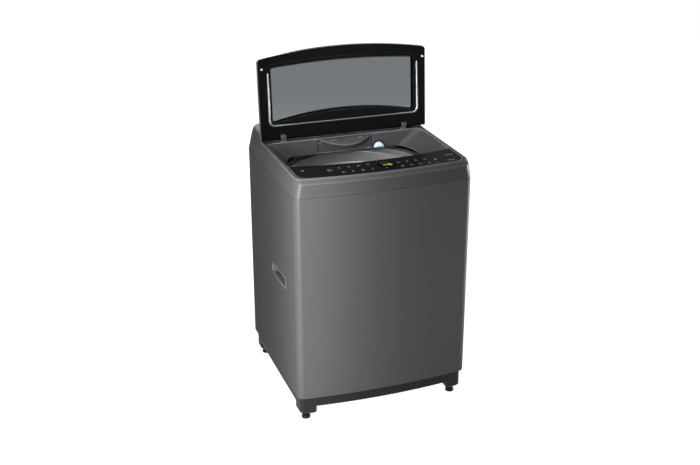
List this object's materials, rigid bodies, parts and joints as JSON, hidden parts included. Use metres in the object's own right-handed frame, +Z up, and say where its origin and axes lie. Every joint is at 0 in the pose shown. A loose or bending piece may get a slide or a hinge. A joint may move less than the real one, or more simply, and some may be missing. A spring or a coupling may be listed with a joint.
{
  "type": "top load washing machine",
  "caption": "Top load washing machine with bowed front, glazed hinged lid, sloping-rim top cover, touch panel, detergent drawer, sprung tub, spinning drum and pulsator, on levelling feet.",
  "frame": {"origin": "on the floor, under the middle of the machine's outer box", "axes": "+X to the right seen from the front, +Y to the back, +Z up"},
  "size_m": [0.692, 0.6899, 1.3381],
  "materials": {
    "cabinet_paint": "satin",
    "cover_plastic": "satin",
    "base_plastic": "matte",
    "foot_plastic": "matte",
    "panel_gloss": "gloss",
    "display_gloss": "gloss",
    "lid_plastic": "gloss",
    "lid_glass": "polished",
    "bumper_rubber": "matte",
    "drawer_plastic": "satin",
    "housing_plastic": "matte",
    "nozzle_plastic": "satin",
    "tub_plastic": "matte",
    "ring_plastic": "satin",
    "drum_steel": "satin",
    "drum_alloy": "satin",
    "pulsator_plastic": "satin",
    "shaft_steel": "polished",
    "fastener_steel": "satin",
    "spring_steel": "satin",
    "housing_alloy": "matte",
    "motor_iron": "matte",
    "rotor_paint": "satin",
    "seal_rubber": "matte",
    "fitting_plastic": "satin",
    "board_plastic": "satin"
  },
  "bodies": {
    "cabinet": {"cabinet_shell": "cabinet_paint", "rear_panel": "cabinet_paint", "top_cover": "cover_plastic", "carry_grip_left": "cover_plastic", "carry_grip_right": "cover_plastic", "base_frame": "base_plastic", "control_panel": "panel_gloss", "display_window": "display_gloss", "drawer_housing": "housing_plastic", "lid_lock": "housing_plastic", "spray_nozzle": "nozzle_plastic", "drain_pump": "tub_plastic", "level_sensor": "tub_plastic", "rod_seats": "tub_plastic", "panel_screws": "fastener_steel", "lock_nuts": "fastener_steel", "corner_brackets": "fastener_steel", "suspension_rod_front_left": "fastener_steel", "suspension_rod_front_right": "fastener_steel", "suspension_rod_back_left": "fastener_steel", "suspension_rod_back_right": "fastener_steel", "suspension_spring_front_left": "spring_steel", "suspension_spring_front_right": "spring_steel", "suspension_spring_back_left": "spring_steel", "suspension_spring_back_right": "spring_steel", "drain_bellows": "seal_rubber", "drain_hose": "seal_rubber", "cord_gland": "seal_rubber", "inlet_valve_hot": "fitting_plastic", "inlet_valve_cold": "fitting_plastic", "drain_outlet": "fitting_plastic", "control_board": "board_plastic", "main_board": "board_plastic"},
    "lid": {"lid_frame": "lid_plastic", "lid_inner_frame": "lid_plastic", "lid_glass": "lid_glass", "lid_bumpers": "bumper_rubber", "hinge_pins": "shaft_steel"},
    "drawer": {"detergent_drawer": "drawer_plastic"},
    "tub": {"outer_tub": "tub_plastic", "tub_cover": "ring_plastic", "bearing_housing": "housing_alloy", "upper_bearing": "shaft_steel", "lower_bearing": "shaft_steel", "shaft_seal": "seal_rubber", "stator": "motor_iron"},
    "drum": {"drum_wall": "drum_steel", "drum_base": "drum_alloy", "balance_ring": "ring_plastic", "lint_filters": "pulsator_plastic", "spin_shaft": "shaft_steel"},
    "pulsator": {"pulsator": "pulsator_plastic", "pulsator_screw": "fastener_steel", "wash_shaft": "shaft_steel", "rotor": "rotor_paint", "rotor_nut": "fastener_steel"},
    "foot_front_left": {"levelling_foot_front_left": "foot_plastic"},
    "foot_front_right": {"levelling_foot_front_right": "foot_plastic"},
    "foot_back_left": {"levelling_foot_back_left": "foot_plastic"},
    "foot_back_right": {"levelling_foot_back_right": "foot_plastic"}
  },
  "joints": [
    {"name": "lid_hinge", "type": "hinge", "parent": "cabinet", "child": "lid", "pos_m": [0, 0.129, 1.003], "axis": [1, 0, 0], "range_deg": [0, 94.4]},
    {"name": "drawer_slide", "type": "slide", "parent": "cabinet", "child": "drawer", "axis": [0, -1, 0], "range_m": [0, 0.11]},
    {"name": "tub_bounce", "type": "slide", "parent": "cabinet", "child": "tub", "axis": [0, 0, 1], "range_m": [-0.03, 0.012], "stiffness_N_per_m": 9000, "springref_m": 0.0345, "deforming": ["suspension_spring_front_left", "suspension_spring_front_right", "suspension_spring_back_left", "suspension_spring_back_right", "drain_bellows"]},
    {"name": "drum_spin", "type": "hinge", "parent": "tub", "child": "drum", "pos_m": [0, -0.0115, 0.358], "axis": [0, 0, 1], "continuous": true},
    {"name": "pulsator_spin", "type": "hinge", "parent": "tub", "child": "pulsator", "pos_m": [0, -0.0115, 0.374], "axis": [0, 0, 1], "continuous": true},
    {"name": "foot_front_left_screw", "type": "slide", "parent": "cabinet", "child": "foot_front_left", "axis": [0, 0, -1], "range_m": [0, 0.012]},
    {"name": "foot_front_right_screw", "type": "slide", "parent": "cabinet", "child": "foot_front_right", "axis": [0, 0, -1], "range_m": [0, 0.012]},
    {"name": "foot_back_left_screw", "type": "slide", "parent": "cabinet", "child": "foot_back_left", "axis": [0, 0, -1], "range_m": [0, 0.012]},
    {"name": "foot_back_right_screw", "type": "slide", "parent": "cabinet", "child": "foot_back_right", "axis": [0, 0, -1], "range_m": [0, 0.012]}
  ]
}
